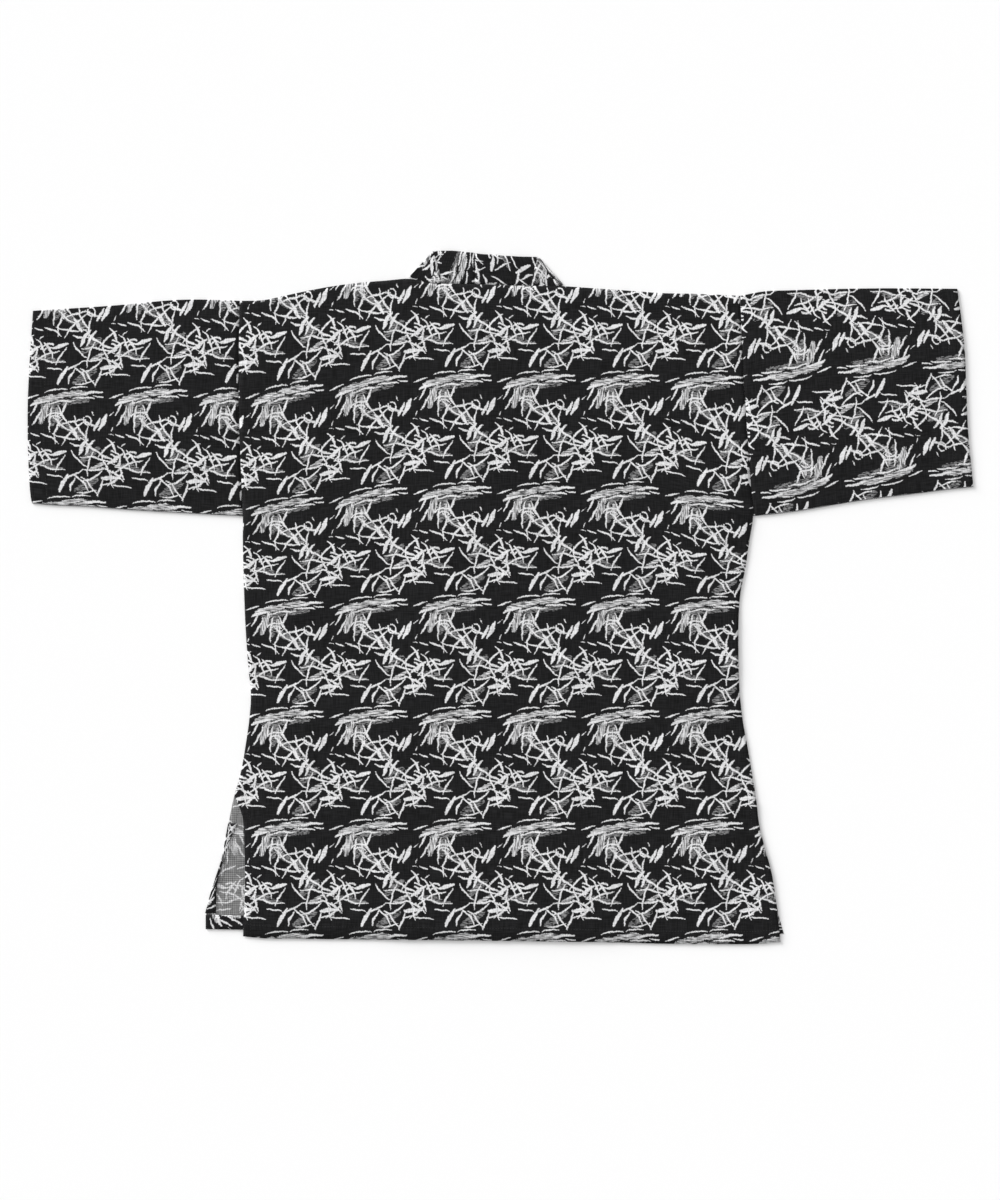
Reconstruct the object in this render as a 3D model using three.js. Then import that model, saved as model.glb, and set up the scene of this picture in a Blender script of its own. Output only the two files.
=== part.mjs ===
// A jinbei top, the short kimono-like jacket of a Japanese summer suit, laid flat and face down:
// the back panel is uppermost, the lapped fronts lie under it, and the sleeves lie out to the sides.
// Millimetres. +X is the wearer's right, +Y runs from the hem to the collar, +Z is up from the table.
import * as THREE from 'three';

// Cloth and making-up sizes
const clothWall = 1.0;      // one layer of cloth
const bandWall = 1.4;       // the collar band, folded double
const thinWall = 0.8;       // turned edges and ties
const seamGap = 0.3;        // between pieces that are sewn together
const bandWidth = 38;
const hemDepth = 16;
const tieWidth = 18;

// The lap: the left front runs past the centre line and lies on the table, the right front lies on it
const centreX = -10;
const lapHalf = 110;        // each front's edge is this far past the centre line
const bandEndY = -200;      // the collar band ends here, above the hem
const lapLift = 2.5;        // how high the right front rides over the left one
const backLapLift = 2.9;    // and the back over both
const hemLift = 1.1;        // the back rides over the left front's turned hem,
const hemLiftStart = -315;  // from here down, and by all of it this much lower
const hemLiftRun = 40;
const tieLift = 1.3;        // cloth that lies on a tie
const rampStart = 8;        // a lift is level this far past what it lies on,
const rampEnd = 70;         // and has come down to nothing by here

// The looseness of the upper layer between its seams
const bodyAir = 2.2;
const airReach = 60;        // it is full this far in from a seam
const looseAtHem = 0.15;    // the share of it left at a free edge
const neckLift = 1.1;       // the back neck rides over the folded collar
const neckLevel = 20;       // by this much up to here from a neck point,
const neckReach = 120;      // and by nothing from here on
const foldRadius = 1.1;     // of the collar's fold beside the neck
const foldSewnIn = 1.2;     // the fold stands this far in from the neck point,
const foldFreeIn = 1;       // and this far in from the top of the collar
const bandStep = 1;         // half the height of the step in a front's edge where its band ends
const creaseFade = 0.7;     // the share of its height that a crease has lost at its far end

// Neck points, where the shoulder seams meet the collar
const neckLeft = { x: -103.6, y: 364.0 };
const neckRight = { x: 70.4, y: 355.6 };
const foldTopLeft = { x: -76.2, y: 395.4 };
const foldTopRight = { x: 42.2, y: 389.4 };

// Edges of the panels, x and y for each point that shapes them, from the top down or from left to right
const leftShoulder = [[-298.3, 338.9], [-268.5, 340.1], [-227.3, 349.2], [-172.3, 358.4], [-103.6, 364.0]];
const backNeckline = [[-103.6, 364.0], [-96, 359.8], [-29.2, 357.8], [22.3, 356.1], [70.4, 355.6]];
const rightShoulder = [[70.4, 355.6], [116.2, 352.7], [184.9, 347.8], [226.1, 346.9], [274.2, 344.6]];
const leftArmhole = [[-298.3, 338.9], [-299.4, 225.6], [-294.8, 92.7]];
const rightArmhole = [[274.2, 344.6], [277.7, 250.8], [289, 92.7]];
const leftSideSeam = [[-294.8, 92.7], [-294.6, 46.9], [-291.8, -33.2], [-286.6, -101.9], [-285.0, -122],
  [-288.6, -147.7], [-295.6, -193.5], [-304.6, -226.7]];
const rightSideSeam = [[289, 92.7], [285.4, 70], [280.6, 35.5], [274.4, 4], [272.2, -30], [272.2, -70],
  [273.2, -102], [276.4, -136.3], [284.5, -182.1], [292.6, -232]];
const backLeftSlit = [[-304.6, -226.7], [-294.8, -253], [-293.1, -289.7], [-292.3, -335.5], [-294.6, -388.2]];
const backRightSlit = [[292.6, -232], [297.1, -266.8], [310.9, -319.5], [318.0, -372], [320.4, -394.8]];
const backHem = [[-294.6, -388.2], [-268.5, -390.6], [-34.9, -393], [102.5, -394.8], [205.5, -397],
  [290, -397], [320.4, -394.8]];
const frontLeftSlit = [[-304.6, -226.7], [-312.0, -262.2], [-319.1, -300], [-326.2, -321.7], [-337.7, -361.8],
  [-337.4, -379.6]];
const frontRightSlit = [[292.6, -232], [297.1, -266.8], [310.6, -319.5], [319.6, -372], [324.2, -385.5]];
const leftFrontHem = [[-337.4, -379.6], [-292, -380.4], [-100, -382], [centreX + lapHalf, -383]];
const rightFrontHem = [[centreX - lapHalf, -384], [100, -386], [260, -388], [324.2, -385.5]];
const leftSleeveTop = [[-298.3, 338.9], [-364.7, 340.2], [-447.1, 333.2], [-535.3, 327.5]];
const leftSleeveCuff = [[-535.0, 327.5], [-540.2, 241.6], [-541.0, 184.3], [-538.7, 125], [-536.0, 107.4]];
const leftSleeveSeam = [[-294.8, 92.7], [-350.9, 95.6], [-419.6, 99.6], [-474.6, 103.6], [-520, 105.6],
  [-536.0, 107.4]];
const rightSleeveTop = [[274.2, 344.6], [294.8, 349.2], [349.8, 351.5], [432.2, 353.2], [522.7, 352.7]];
const rightSleeveCuff = [[522.7, 352.7], [531.3, 280], [534.2, 201.5], [541.0, 126]];
const rightSleeveSeam = [[289, 92.7], [336.1, 97.8], [404.8, 109.3], [459.7, 116.4], [514.7, 123.3],
  [541.0, 126]];

// Upper edge of the back collar, from the centre-back join out to the fold on each side
const crownLeft = [[-29, 393.6], [-65.8, 396.6], [-76.2, 395.4]];
const crownRight = [[-29, 393.4], [10.9, 389.9], [42.2, 389.4]];

// Slit turning: how much of the turned edge lies in on the panel at each height
const slitTurning = [[-258, 10], [-270, 7.5], [-281, 5], [-300, 2.5], [-322, 3], [-342, 7], [-361, 12]];

// Drag lines and soft folds of the upper layer: from and to, height and half width
const creases = [
  { x0: 283, y0: 80, x1: 185, y1: 180, height: 1.1, reach: 24 },
  { x0: 276, y0: 0, x1: 170, y1: 60, height: 0.8, reach: 22 },
  { x0: 268, y0: -95, x1: 150, y1: -60, height: 0.7, reach: 20 },
  { x0: -290, y0: 86, x1: -215, y1: 175, height: 0.8, reach: 22 },
  { x0: -282, y0: -120, x1: -190, y1: -150, height: 0.8, reach: 20 },
  { x0: -70, y0: 250, x1: -105, y1: -40, height: 0.6, reach: 34 },
  { x0: 120, y0: 230, x1: 95, y1: -120, height: 0.6, reach: 30 },
  { x0: 255, y0: -250, x1: 235, y1: -370, height: 0.7, reach: 24 },
  { x0: -180, y0: -230, x1: -215, y1: -360, height: 0.5, reach: 24 },
  { x0: -318, y0: 122, x1: -480, y1: 190, height: 0.7, reach: 26 },
  { x0: -330, y0: 318, x1: -500, y1: 270, height: 0.5, reach: 24 },
  { x0: 312, y0: 122, x1: 480, y1: 200, height: 0.8, reach: 26 },
  { x0: 300, y0: 325, x1: 470, y1: 290, height: 0.5, reach: 24 },
];

// Ties: where the root is sewn, which way it leaves (degrees from +X), and which way its tail falls
const tieLength = 230;
const ties = [
  { name: 'outer_tie_front', x: 59.5, y: -62, leaves: 16.6, falls: -82, under: 'right_front' },
  { name: 'outer_tie_side', x: 268, y: -60, leaves: 185, falls: 278, under: 'right_front' },
  { name: 'inner_tie_front', x: -75, y: -60, leaves: 164.5, falls: 262, under: 'back' },
  { name: 'inner_tie_side', x: -268, y: -60, leaves: -5, falls: -98, under: 'back' },
];
const tieBend = 0.45;       // the share of its length in which a tie turns from one to the other
const tieSteps = 10;

// --- Small helpers ---------------------------------------------------------------------------------

const lerp = THREE.MathUtils.lerp;
const smooth = (value) => THREE.MathUtils.smoothstep(value, 0, 1);
const flat = ([x, y]) => new THREE.Vector2(x, y);

// A panel edge: one smooth stretch for each table, joined end to end
function edge(...stretches) {
  const path = new THREE.Path();
  for (const stretch of stretches) {
    path.currentPoint.copy(flat(stretch[0]));
    path.splineThru(stretch.slice(1).map(flat));
  }
  return path;
}

// Points along an edge, with the given number of steps in each of its stretches
function along(path, steps) {
  const points = [path.curves[0].getPointAt(0)];
  path.curves.forEach((curve, index) => {
    for (let step = 1; step <= steps[index]; step += 1) {
      points.push(curve.getPointAt(step / steps[index]));
    }
  });
  return points;
}

// A grid of points spread between four edges; rows run from the top edge to the bottom one
function spread(top, bottom, left, right) {
  const rows = left.length - 1;
  const columns = top.length - 1;
  return left.map((start, row) => top.map((above, column) => {
    const u = column / columns;
    const v = row / rows;
    const acrossX = lerp(start.x, right[row].x, u);
    const acrossY = lerp(start.y, right[row].y, u);
    const downX = lerp(above.x, bottom[column].x, v);
    const downY = lerp(above.y, bottom[column].y, v);
    const cornerX = lerp(lerp(top[0].x, top[columns].x, u), lerp(bottom[0].x, bottom[columns].x, u), v);
    const cornerY = lerp(lerp(top[0].y, top[columns].y, u), lerp(bottom[0].y, bottom[columns].y, u), v);
    return new THREE.Vector2(acrossX + downX - cornerX, acrossY + downY - cornerY);
  }));
}

function distanceToSegment(x, y, x0, y0, x1, y1) {
  const share = ((x - x0) * (x1 - x0) + (y - y0) * (y1 - y0)) / ((x1 - x0) ** 2 + (y1 - y0) ** 2);
  const kept = THREE.MathUtils.clamp(share, 0, 1);
  return { distance: Math.hypot(x - lerp(x0, x1, kept), y - lerp(y0, y1, kept)), share: kept };
}

function distanceToLine(x, y, points) {
  let nearest = Infinity;
  for (let index = 1; index < points.length; index += 1) {
    const [x0, y0] = points[index - 1];
    const [x1, y1] = points[index];
    nearest = Math.min(nearest, distanceToSegment(x, y, x0, y0, x1, y1).distance);
  }
  return nearest;
}

// A closed body from a row of closed loops. Open rows get an end cap on the first and last loop, whose
// points pair off across the wall; a closed row is a ring of loops and needs none.
function skin(name, color, loops, ring = false) {
  const count = loops[0].length;
  const triangles = [];
  const at = (row, point) => (row % loops.length) * count + (point % count);
  const quad = (a, b, c, d) => triangles.push([a, b, c], [a, c, d]);
  const lastRow = ring ? loops.length : loops.length - 1;
  for (let row = 0; row < lastRow; row += 1) {
    for (let point = 0; point < count; point += 1) {
      quad(at(row, point), at(row, point + 1), at(row + 1, point + 1), at(row + 1, point));
    }
  }
  if (!ring) {
    for (let point = 0; point < count / 2 - 1; point += 1) {
      const across = count - 1 - point;
      quad(at(0, point + 1), at(0, point), at(0, across), at(0, across - 1));
      quad(at(lastRow, point), at(lastRow, point + 1), at(lastRow, across - 1), at(lastRow, across));
    }
  }
  const points = loops.flat();
  const volume = triangles.reduce((sum, [a, b, c]) => (
    sum + new THREE.Vector3().crossVectors(points[b], points[c]).dot(points[a])), 0);
  const outward = volume > 0 ? triangles : triangles.map(([a, b, c]) => [a, c, b]);
  const geometry = new THREE.BufferGeometry().setFromPoints(points);
  geometry.setIndex(outward.flat());
  geometry.computeVertexNormals();
  const cotton = new THREE.MeshStandardMaterial({ color, roughness: 0.9, metalness: 0 });
  const mesh = new THREE.Mesh(geometry, cotton);
  mesh.name = name;
  return mesh;
}

// A sheet of cloth: a grid of points with the height of its underside at each, and a wall above that
function sheet(name, color, grid, underside, wall = clothWall) {
  const loops = grid.map((row) => {
    const below = row.map((point) => new THREE.Vector3(point.x, point.y, underside(point.x, point.y)));
    const above = below.map((point) => new THREE.Vector3(point.x, point.y, point.z + wall));
    return [...below, ...above.reverse()];
  });
  return skin(name, color, loops);
}

// --- The lap of the fronts -------------------------------------------------------------------------

// Each front is mirrored about the centre line by its side: +1 for the left front, whose edge lies at +X.
// The band is sewn to a line from the neck point to bandEndY. Below that the front's own edge is the lap's.
const sewLine = {
  1: { top: neckLeft, foldTop: foldTopLeft, crown: crownLeft, bottomX: centreX + lapHalf - bandWidth },
  [-1]: { top: neckRight, foldTop: foldTopRight, crown: crownRight, bottomX: centreX - lapHalf + bandWidth },
};

function freeEdgeX(side, y) {
  const { foldTop } = sewLine[side];
  const lapX = centreX + side * lapHalf;
  if (y < bandEndY) return lapX;
  return lerp(lapX, foldTop.x, (y - bandEndY) / (foldTop.y - bandEndY));
}

// 1 over the left front and band, falling to 0 beyond their free edge
function overLeftFront(x, y) {
  return 1 - smooth((x - freeEdgeX(1, y) - rampStart) / (rampEnd - rampStart));
}

// 1 over the right front and band, falling to 0 beyond their free edge
function overRightFront(x, y) {
  return 1 - smooth((freeEdgeX(-1, y) - x - rampStart) / (rampEnd - rampStart));
}

// Centre line of a tie, as points with the way it runs at each
function tieRun(tie) {
  const step = tieLength / tieSteps;
  const run = [{ x: tie.x, y: tie.y, turn: THREE.MathUtils.degToRad(tie.leaves) }];
  for (let index = 1; index <= tieSteps; index += 1) {
    const share = Math.min(index / tieSteps / tieBend, 1);
    const turn = THREE.MathUtils.degToRad(lerp(tie.leaves, tie.falls, share));
    const last = run.at(-1);
    const between = (last.turn + turn) / 2;
    run.push({ x: last.x + step * Math.cos(between), y: last.y + step * Math.sin(between), turn });
  }
  return run;
}

const tieRuns = new Map(ties.map((tie) => [tie, tieRun(tie)]));

function overTies(x, y, under) {
  const lifts = ties.filter((tie) => tie.under === under).map((tie) => {
    const distance = distanceToLine(x, y, tieRuns.get(tie).map((point) => [point.x, point.y]));
    return 1 - smooth((distance - tieWidth) / (airReach - tieWidth));
  });
  return tieLift * Math.max(...lifts);
}

function rightFrontHeight(x, y) {
  return Math.max(lapLift * overLeftFront(x, y), overTies(x, y, 'right_front'));
}

// --- The height of the back's underside ------------------------------------------------------------

const bodySeams = [leftShoulder, rightShoulder, leftSideSeam, rightSideSeam];
const bodyFreeEdges = [backLeftSlit, backRightSlit, backHem, backNeckline];

function creaseHeight(x, y) {
  return creases.reduce((sum, crease) => {
    const { distance, share } = distanceToSegment(x, y, crease.x0, crease.y0, crease.x1, crease.y1);
    return sum + crease.height * Math.exp(-((distance / crease.reach) ** 2)) * (1 - creaseFade * share);
  }, 0);
}

function airUnder(x, y, seams, freeEdges) {
  const fromSeam = Math.min(...seams.map((line) => distanceToLine(x, y, line)));
  const fromFree = Math.min(...freeEdges.map((line) => distanceToLine(x, y, line)));
  const held = smooth(fromSeam / airReach);
  const loose = lerp(looseAtHem, 1, smooth(fromFree / airReach));
  return (bodyAir + creaseHeight(x, y)) * held * loose;
}

function neckRise(x, y) {
  const fromNeck = Math.min(...[neckLeft, neckRight].map((point) => Math.hypot(x - point.x, y - point.y)));
  return neckLift * (1 - smooth((fromNeck - neckLevel) / (neckReach - neckLevel)));
}

function backHeight(x, y) {
  const lap = backLapLift * Math.min(overLeftFront(x, y), overRightFront(x, y));
  const pastHem = 1 - smooth((x - centreX - lapHalf) / rampEnd);
  const hem = hemLift * smooth((hemLiftStart - y) / hemLiftRun) * pastHem;
  const ties = Math.max(overTies(x, y, 'right_front'), overTies(x, y, 'back'));
  const lifted = Math.max(lap, hem, ties, rightFrontHeight(x, y) * (x > centreX ? 1 : 0));
  return clothWall + seamGap + lifted + neckRise(x, y) + airUnder(x, y, bodySeams, bodyFreeEdges);
}

// --- Panels ----------------------------------------------------------------------------------------

const sideSteps = [9, 11, 6];         // rows beside the armhole, the side seam and the slit
const shoulderSteps = 7;
const neckSteps = 7;
const centreBackStep = 3;             // the collar's two halves are joined at this step of the neckline

const backSides = {
  left: along(edge(leftArmhole, leftSideSeam, backLeftSlit), sideSteps),
  right: along(edge(rightArmhole, rightSideSeam, backRightSlit), sideSteps),
};
const topSteps = [shoulderSteps, neckSteps, shoulderSteps];
const backTop = along(edge(leftShoulder, backNeckline, rightShoulder), topSteps);
const backColumns = backTop.length - 1;
const backPanel = sheet('back', '#262626', spread(
  backTop, along(edge(backHem), [backColumns]), backSides.left, backSides.right), backHeight);

// The free side of a front, from its neck point: the sewing line, the step at the band's end, the lap edge
function frontEdge(side, hemCorner) {
  const { top, bottomX } = sewLine[side];
  const lapX = centreX + side * lapHalf;
  const outward = side * seamGap / 2;
  return along(edge(
    [[top.x - outward, top.y], [bottomX - outward, bandEndY + bandStep]],
    [[bottomX - outward, bandEndY + bandStep], [lapX, bandEndY - bandStep]],
    [[lapX, bandEndY - bandStep], hemCorner],
  ), [sideSteps[0] + sideSteps[1] - 1, 2, sideSteps[2] - 1]);
}

const frontColumns = 12;
const leftFrontSlitSide = along(edge(leftArmhole, leftSideSeam, frontLeftSlit), sideSteps);
const leftFrontBottom = along(edge(leftFrontHem), [frontColumns]);
const leftFront = sheet('left_front', '#3a3a3a', spread(
  along(edge(leftShoulder), [frontColumns]), leftFrontBottom, leftFrontSlitSide,
  frontEdge(1, leftFrontHem.at(-1))), () => 0);

const rightFront = sheet('right_front', '#444444', spread(
  along(edge(rightShoulder), [frontColumns]), along(edge(rightFrontHem), [frontColumns]),
  frontEdge(-1, rightFrontHem[0]), along(edge(rightArmhole, rightSideSeam, frontRightSlit), sideSteps),
), rightFrontHeight);

// --- Turned edges of the left front ----------------------------------------------------------------

const onFront = clothWall + seamGap;
const hemRow = (depth) => leftFrontBottom.map((point) => new THREE.Vector2(point.x, point.y + depth));
const hemTurning = sheet('left_front_hem', '#1e1e1e', [hemRow(hemDepth), hemRow(0)], () => onFront, thinWall);

const slitCurve = edge(frontLeftSlit).curves[0];
const slitRows = slitTurning.map(([y, width]) => {
  const onEdge = slitCurve.getPoints(60).reduce((best, point) => (
    Math.abs(point.y - y) < Math.abs(best.y - y) ? point : best));
  return [new THREE.Vector2(onEdge.x, onEdge.y), new THREE.Vector2(onEdge.x + width, onEdge.y)];
});
const slitTurningPiece = sheet('left_front_slit_turning', '#1e1e1e', slitRows, () => onFront, thinWall);

// --- Sleeves ---------------------------------------------------------------------------------------

const sleeveStations = 9;
const sleeveAround = 8;

// A sleeve is one tube, folded along its top and seamed below, pressed flat: its under half lies on the
// table and its upper half has the looseness of the back beside it.
function sleeve(name, top, cuff, seam, armhole, away) {
  const even = (line, steps) => along(edge(line), [steps]);
  const crowd = (index) => (1 - Math.cos(Math.PI * index / sleeveAround)) / 2;
  const crowded = (line) => {
    const curve = edge(line).curves[0];
    return Array.from({ length: sleeveAround + 1 }, (_, index) => curve.getPointAt(crowd(index)));
  };
  const shifted = crowded(armhole).map((point) => new THREE.Vector2(point.x + away * seamGap, point.y));
  const grid = spread(even(top, sleeveStations), even(seam, sleeveStations), shifted, crowded(cuff));
  const outerInset = clothWall;         // how far the layers stand in from the folds' outsides
  const innerInset = clothWall * 1.6;
  const outer = [];
  const inner = [];
  for (let station = 0; station <= sleeveStations; station += 1) {
    const line = grid.map((row) => row[station]);
    const first = line[0];
    const last = line.at(-1);
    const pulledIn = (point, by) => THREE.MathUtils.clamp(point.y, last.y + by, first.y - by);
    const layer = (height, by) => line.map((point) => (
      new THREE.Vector3(point.x, pulledIn(point, by), height(point))));
    const raised = (point) => clothWall + seamGap + airUnder(point.x, point.y, [top, seam], [cuff]);
    const middle = clothWall + seamGap / 2;
    const fold = (point, by) => new THREE.Vector3(point.x, point.y + by, middle);
    outer.push([fold(first, 0), ...layer(() => 0, outerInset), fold(last, 0),
      ...layer((point) => raised(point) + clothWall, outerInset).reverse()]);
    inner.push([fold(first, -clothWall), ...layer(() => clothWall, innerInset), fold(last, clothWall),
      ...layer(raised, innerInset).reverse()]);
  }
  return skin(name, '#303030', [...outer, ...inner.reverse()], true);
}

const leftSleeve = sleeve('left_sleeve', leftSleeveTop, leftSleeveCuff, leftSleeveSeam, leftArmhole, -1);
const rightSleeve = sleeve('right_sleeve', rightSleeveTop, rightSleeveCuff, rightSleeveSeam, rightArmhole, 1);

// --- Collar band -----------------------------------------------------------------------------------

const bandColumns = 3;
const foldStations = 6;
const frontStations = 18;

// One station of the band: its sewn edge, its free edge and which way is up through the wall
function bandLoop(sewn, free, up) {
  const under = [];
  const over = [];
  for (let column = 0; column <= bandColumns; column += 1) {
    const middle = new THREE.Vector3().lerpVectors(sewn, free, column / bandColumns);
    under.push(middle.clone().addScaledVector(up, -bandWall / 2));
    over.push(middle.clone().addScaledVector(up, bandWall / 2));
  }
  return [...under, ...over.reverse()];
}

// The neckline's points, shared with the back panel so that the seam between them is even
const neckPoints = backTop.slice(shoulderSteps, shoulderSteps + neckSteps + 1);

// Half of the collar: along the back neckline from the centre-back join, folded over beside the neck,
// then down the front to bandEndY.
function collarHalf(name, side, height) {
  const { top, foldTop, crown, bottomX } = sewLine[side];
  const crownCurve = edge(crown).curves[0];
  const up = new THREE.Vector3(0, 0, 1);
  const foldZ = bandWall / 2 + 2 * foldRadius;
  const loops = [];
  const stretch = side > 0
    ? neckPoints.slice(1, centreBackStep + 1).reverse()
    : neckPoints.slice(centreBackStep, -1);
  stretch.forEach((point, station) => {
    const share = station / stretch.length;
    const atJoin = station === 0 ? side * seamGap / 2 : 0;
    const level = lerp(backHeight(point.x, point.y) + clothWall / 2, foldZ, smooth(share));
    const above = crownCurve.getPointAt(share);
    const sewn = new THREE.Vector3(point.x - atJoin, point.y + seamGap, level);
    const free = new THREE.Vector3(above.x - atJoin, above.y, level);
    loops.push(bandLoop(sewn, free, up));
  });
  const foldAxis = new THREE.Vector3(foldTop.x - top.x, foldTop.y - top.y, 0).normalize();
  const outward = new THREE.Vector3(-side * foldAxis.y, side * foldAxis.x, 0);
  for (let station = 0; station <= foldStations; station += 1) {
    const turn = Math.PI * (0.5 - station / foldStations);
    const offset = new THREE.Vector3(0, 0, bandWall / 2 + foldRadius)
      .addScaledVector(outward, foldRadius * Math.cos(turn)).addScaledVector(up, foldRadius * Math.sin(turn));
    const sewn = new THREE.Vector3(top.x, top.y + foldSewnIn, 0).add(offset);
    const free = new THREE.Vector3(foldTop.x, foldTop.y - foldFreeIn, 0).add(offset);
    const away = up.clone().multiplyScalar(Math.sin(turn)).addScaledVector(outward, Math.cos(turn));
    loops.push(bandLoop(sewn, free, away));
  }
  const lapX = centreX + side * lapHalf;
  const down = new THREE.Vector3(0, 0, -1);
  for (let station = 1; station <= frontStations; station += 1) {
    const share = station / frontStations;
    const sewnX = lerp(top.x, bottomX, share) + side * seamGap / 2;
    const sewnY = lerp(top.y, bandEndY + bandStep + seamGap, share);
    const freeX = lerp(foldTop.x, lapX, share);
    const freeY = lerp(foldTop.y - foldFreeIn, bandEndY - bandStep + seamGap, share);
    const sewn = new THREE.Vector3(sewnX, sewnY, height(sewnX, sewnY) + bandWall / 2);
    const free = new THREE.Vector3(freeX, freeY, height(freeX, freeY) + bandWall / 2);
    loops.push(bandLoop(sewn, free, down));
  }
  return skin(name, '#2a2a2a', loops);
}

const collarLeft = collarHalf('collar_left', 1, () => 0);
const collarRight = collarHalf('collar_right', -1, rightFrontHeight);

// --- Ties ------------------------------------------------------------------------------------------

function tieStrip(tie) {
  const level = tie.under === 'back' ? onFront : 0;
  const grid = tieRuns.get(tie).map(({ x, y, turn }) => [1, -1].map((side) => new THREE.Vector2(
    x - side * Math.sin(turn) * tieWidth / 2, y + side * Math.cos(turn) * tieWidth / 2)));
  return sheet(tie.name, '#202020', grid, () => level, thinWall);
}

// --- The whole garment -----------------------------------------------------------------------------

const jinbeiTop = new THREE.Group();
jinbeiTop.add(backPanel, leftFront, rightFront, leftSleeve, rightSleeve, collarLeft, collarRight);
jinbeiTop.add(hemTurning, slitTurningPiece, ...ties.map(tieStrip));

export default jinbeiTop;
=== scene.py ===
import math

import bmesh
import bpy
from mathutils import Matrix, Vector, geometry, noise
from mathutils.bvhtree import BVHTree
from mathutils.kdtree import KDTree


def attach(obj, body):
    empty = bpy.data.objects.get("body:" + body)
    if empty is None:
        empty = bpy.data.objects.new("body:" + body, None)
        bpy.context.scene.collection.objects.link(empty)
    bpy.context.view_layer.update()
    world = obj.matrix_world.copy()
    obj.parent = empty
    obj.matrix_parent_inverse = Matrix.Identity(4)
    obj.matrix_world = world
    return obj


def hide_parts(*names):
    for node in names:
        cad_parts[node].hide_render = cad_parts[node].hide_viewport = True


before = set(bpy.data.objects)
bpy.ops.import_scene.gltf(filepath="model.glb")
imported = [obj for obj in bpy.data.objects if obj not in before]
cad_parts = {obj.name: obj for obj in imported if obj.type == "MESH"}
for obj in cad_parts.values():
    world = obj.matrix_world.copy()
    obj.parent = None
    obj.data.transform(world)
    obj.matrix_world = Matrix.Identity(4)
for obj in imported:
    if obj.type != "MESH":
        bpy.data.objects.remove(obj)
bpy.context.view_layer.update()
mm = 0.001

# ---- camera, lights and table ----

camera = {
    "middle": (-0.6, -3.4),    # mm, the point of the cloth that it looks straight down at
    "sees": 1374,              # mm of the table along the long side of the picture
    "lens": 85,
    "sensor": 36,
    "farthest": 100,           # m, how far it sees
}
eye = bpy.data.objects.new("camera", bpy.data.cameras.new("camera"))
eye.data.lens = camera["lens"]
eye.data.sensor_width = camera["sensor"]
eyeHeight = camera["sees"] * mm * camera["lens"] / camera["sensor"]
eye.location = (camera["middle"][0] * mm, camera["middle"][1] * mm, eyeHeight)
eye.data.clip_end = camera["farthest"]
bpy.context.scene.collection.objects.link(eye)
bpy.context.scene.camera = eye
bpy.context.scene.view_settings.view_transform = "Standard"

# name: its bearing from the cloth (degrees anticlockwise from +X), its height in degrees, how wide it is, and
# how much of the table's white it gives
lamps = {
    "low window": {"bearing": 136, "height": 20, "spread": 30, "share": 0.40},
    "overhead softbox": {"bearing": 110, "height": 80, "spread": 70, "share": 0.27},
}
roomShare = 0.40    # what the pale room gives of the table's white
for name, lamp in lamps.items():
    light = bpy.data.objects.new(name, bpy.data.lights.new(name, "SUN"))
    height, bearing = math.radians(lamp["height"]), math.radians(lamp["bearing"])
    level = Vector((math.cos(bearing), math.sin(bearing), 0))
    towards = level * math.cos(height) + Vector((0, 0, math.sin(height)))
    light.data.angle = math.radians(lamp["spread"])
    light.data.energy = lamp["share"] * math.pi / math.sin(height)
    light.rotation_euler = (-towards).to_track_quat("-Z", "Y").to_euler()
    bpy.context.scene.collection.objects.link(light)

world = bpy.data.worlds.new("pale room")
world.use_nodes = True
world.node_tree.nodes["Background"].inputs["Color"].default_value = (1, 1, 1, 1)
world.node_tree.nodes["Background"].inputs["Strength"].default_value = roomShare
bpy.context.scene.world = world


def linear(code):    # sRGB hex to the shader's linear colour
    shades = [int(code[place:place + 2], 16) / 255 for place in (1, 3, 5)]
    return [shade / 12.92 if shade < 0.04045 else ((shade + 0.055) / 1.055) ** 2.4 for shade in shades] + [1]


def addNode(tree, kind, inputs, **settings):    # a node, what goes into it, and its own settings
    node = tree.nodes.new(kind)
    for setting, value in settings.items():
        setattr(node, setting, value)
    for socket, value in inputs.items():
        if isinstance(value, bpy.types.Node):
            tree.links.new(value.outputs[0], node.inputs[socket])
        elif isinstance(value, bpy.types.NodeSocket):
            tree.links.new(value, node.inputs[socket])
        else:
            node.inputs[socket].default_value = value
    return node


tableLook = {
    "colour": "#F7F7F7", "roughness": 0.9, "shine": 0.1,
    "reach": 15,       # m from its middle to each side
    "below": 0.1,      # mm between it and the cloth
}
# Matt white painted table: even, with no gloss
tableTop = bpy.data.materials.new("matt white paint")
tableTop.use_nodes = True
paint = tableTop.node_tree.nodes["Principled BSDF"]
paint.inputs["Base Color"].default_value = linear(tableLook["colour"])
paint.inputs["Roughness"].default_value = tableLook["roughness"]
paint.inputs["Specular IOR Level"].default_value = tableLook["shine"]

top = bmesh.new()
bmesh.ops.create_grid(top, x_segments=4, y_segments=4, size=tableLook["reach"])
bmesh.ops.translate(top, verts=top.verts, vec=(0, 0, -tableLook["below"] * mm))
topMesh = bpy.data.meshes.new("table")
top.to_mesh(topMesh)
top.free()
topMesh.materials.append(tableTop)
table = bpy.data.objects.new("table", topMesh)
bpy.context.scene.collection.objects.link(table)
print("camera, lamps and table are in place")

# ---- the print ----

repeat = {
    "width": 96, "height": 128,           # mm
    "wobble": 1.8, "wobbleLength": 11,    # mm, how far a mark strays, and over what length
    "taper": 0.5, "thinned": 0.24,        # the share of its width lost at its ends, and mm lost all along
    "ragged": 0.6, "raggedDepth": 1.6,    # notches in a mm of its edge, and how deep they are in mm
    "soft": 0.3,                          # mm that the edge fades over on each side
    "torn": 1.6,                          # how much deeper the notches of a dry brush are
}
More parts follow.
